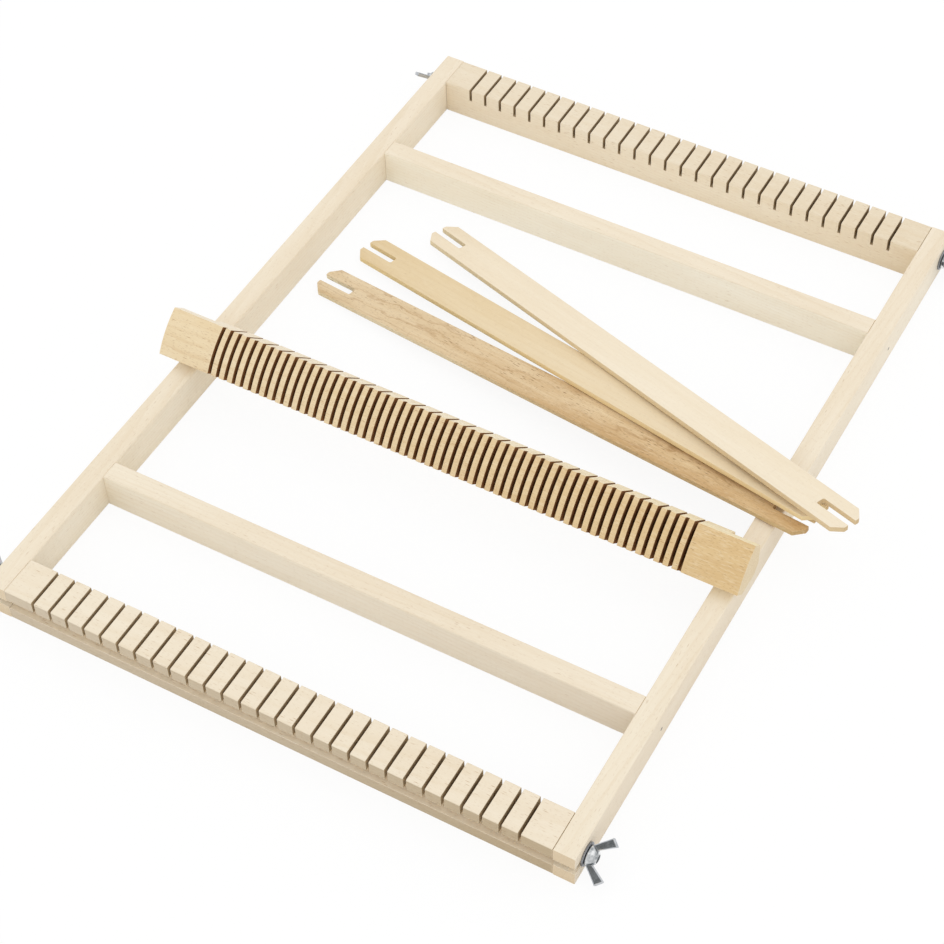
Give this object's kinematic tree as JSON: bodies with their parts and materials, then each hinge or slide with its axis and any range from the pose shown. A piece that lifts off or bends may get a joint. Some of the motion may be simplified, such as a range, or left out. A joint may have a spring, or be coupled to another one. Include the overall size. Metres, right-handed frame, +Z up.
{
  "type": "school weaving frame",
  "caption": "Flat wooden weaving frame with slotted beams clamped by wing nuts, a turning comb bar that opens the shed, and loose stick shuttles.",
  "frame": {"origin": "middle of the frame's footprint, on the table", "axes": "+X across the frame to the right, +Y along it to the back, +Z up"},
  "size_m": [0.4635, 0.5565, 0.0574],
  "materials": {
    "pale_beech": "planed and sanded, bare",
    "tan_beech": "planed and sanded, bare",
    "brown_wood": "sanded, bare",
    "tan_wood": "sanded, bare",
    "cream_wood": "sanded, bare",
    "zinc": "zinc plated",
    "steel_nail": "dull"
  },
  "bodies": {
    "frame": {"left_rail": "pale_beech", "right_rail": "pale_beech", "front_crossbar": "pale_beech", "back_crossbar": "pale_beech", "front_left_nail": "steel_nail", "front_right_nail": "steel_nail", "back_left_nail": "steel_nail", "back_right_nail": "steel_nail"},
    "front_studs": {"front_left_stud": "zinc", "front_right_stud": "zinc"},
    "front_beam": {"front_beam": "pale_beech"},
    "back_studs": {"back_left_stud": "zinc", "back_right_stud": "zinc"},
    "back_beam": {"back_beam": "pale_beech"},
    "front_left_washer": {"front_left_washer": "zinc"},
    "front_left_wing_nut": {"front_left_wing_nut": "zinc"},
    "front_right_washer": {"front_right_washer": "zinc"},
    "front_right_wing_nut": {"front_right_wing_nut": "zinc"},
    "back_left_washer": {"back_left_washer": "zinc"},
    "back_left_wing_nut": {"back_left_wing_nut": "zinc"},
    "back_right_washer": {"back_right_washer": "zinc"},
    "back_right_wing_nut": {"back_right_wing_nut": "zinc"},
    "comb_bar": {"comb_bar": "tan_beech"},
    "lower_shuttle": {"lower_shuttle": "brown_wood"},
    "middle_shuttle": {"middle_shuttle": "tan_wood"},
    "upper_shuttle": {"upper_shuttle": "cream_wood"}
  },
  "joints": [
    {"name": "front_studs_slide", "type": "slide", "parent": "frame", "child": "front_studs", "axis": [0, -1, 0], "range_m": [0, 0.01]},
    {"name": "front_beam_turn", "type": "hinge", "parent": "front_studs", "child": "front_beam", "pos_m": [0, -0.2645, 0.01325], "axis": [1, 0, 0], "continuous": true},
    {"name": "back_studs_slide", "type": "slide", "parent": "frame", "child": "back_studs", "axis": [0, 1, 0], "range_m": [0, 0.01]},
    {"name": "back_beam_turn", "type": "hinge", "parent": "back_studs", "child": "back_beam", "pos_m": [0, 0.2645, 0.01325], "axis": [1, 0, 0], "continuous": true},
    {"name": "front_left_wing_nut_spin", "type": "hinge", "parent": "front_left_washer", "child": "front_left_wing_nut", "pos_m": [-0.2014, -0.2645, 0.01325], "axis": [-1, 0, 0], "range_deg": [0, 1800]},
    {"name": "front_left_washer_slide", "type": "slide", "parent": "front_studs", "child": "front_left_washer", "axis": [-1, 0, 0], "range_m": [0, 0.00402]},
    {"name": "front_right_wing_nut_spin", "type": "hinge", "parent": "front_right_washer", "child": "front_right_wing_nut", "pos_m": [0.2014, -0.2645, 0.01325], "axis": [1, 0, 0], "range_deg": [0, 1800]},
    {"name": "front_right_washer_slide", "type": "slide", "parent": "front_studs", "child": "front_right_washer", "axis": [1, 0, 0], "range_m": [0, 0.00402]},
    {"name": "back_left_wing_nut_spin", "type": "hinge", "parent": "back_left_washer", "child": "back_left_wing_nut", "pos_m": [-0.2014, 0.2645, 0.01325], "axis": [-1, 0, 0], "range_deg": [0, 1800]},
    {"name": "back_left_washer_slide", "type": "slide", "parent": "back_studs", "child": "back_left_washer", "axis": [-1, 0, 0], "range_m": [0, 0.00402]},
    {"name": "back_right_wing_nut_spin", "type": "hinge", "parent": "back_right_washer", "child": "back_right_wing_nut", "pos_m": [0.2014, 0.2645, 0.01325], "axis": [1, 0, 0], "range_deg": [0, 1800]},
    {"name": "back_right_washer_slide", "type": "slide", "parent": "back_studs", "child": "back_right_washer", "axis": [1, 0, 0], "range_m": [0, 0.00402]},
    {"name": "comb_bar_turn", "type": "hinge", "parent": "frame", "child": "comb_bar", "pos_m": [-0.003, -0.0517, 0.02943], "axis": [-1, 0, 0], "range_deg": [0, 90]},
    {"name": "lower_shuttle_slide", "type": "slide", "parent": "frame", "child": "lower_shuttle", "axis": [0.985, -0.156, 0.0737], "range_m": [0, 0.14]},
    {"name": "middle_shuttle_slide", "type": "slide", "parent": "frame", "child": "middle_shuttle", "axis": [0.967, -0.2393, 0.0878], "range_m": [0, 0.14]},
    {"name": "upper_shuttle_slide", "type": "slide", "parent": "frame", "child": "upper_shuttle", "axis": [0.929, -0.3529, 0.1114], "range_m": [0, 0.14]}
  ],
  "couplings": [
    {"joint": "front_left_washer_slide", "follows": "front_left_wing_nut_spin", "m_per_rad": 0.00012732},
    {"joint": "front_right_washer_slide", "follows": "front_right_wing_nut_spin", "m_per_rad": 0.00012732},
    {"joint": "back_left_washer_slide", "follows": "back_left_wing_nut_spin", "m_per_rad": 0.00012732},
    {"joint": "back_right_washer_slide", "follows": "back_right_wing_nut_spin", "m_per_rad": 0.00012732}
  ]
}
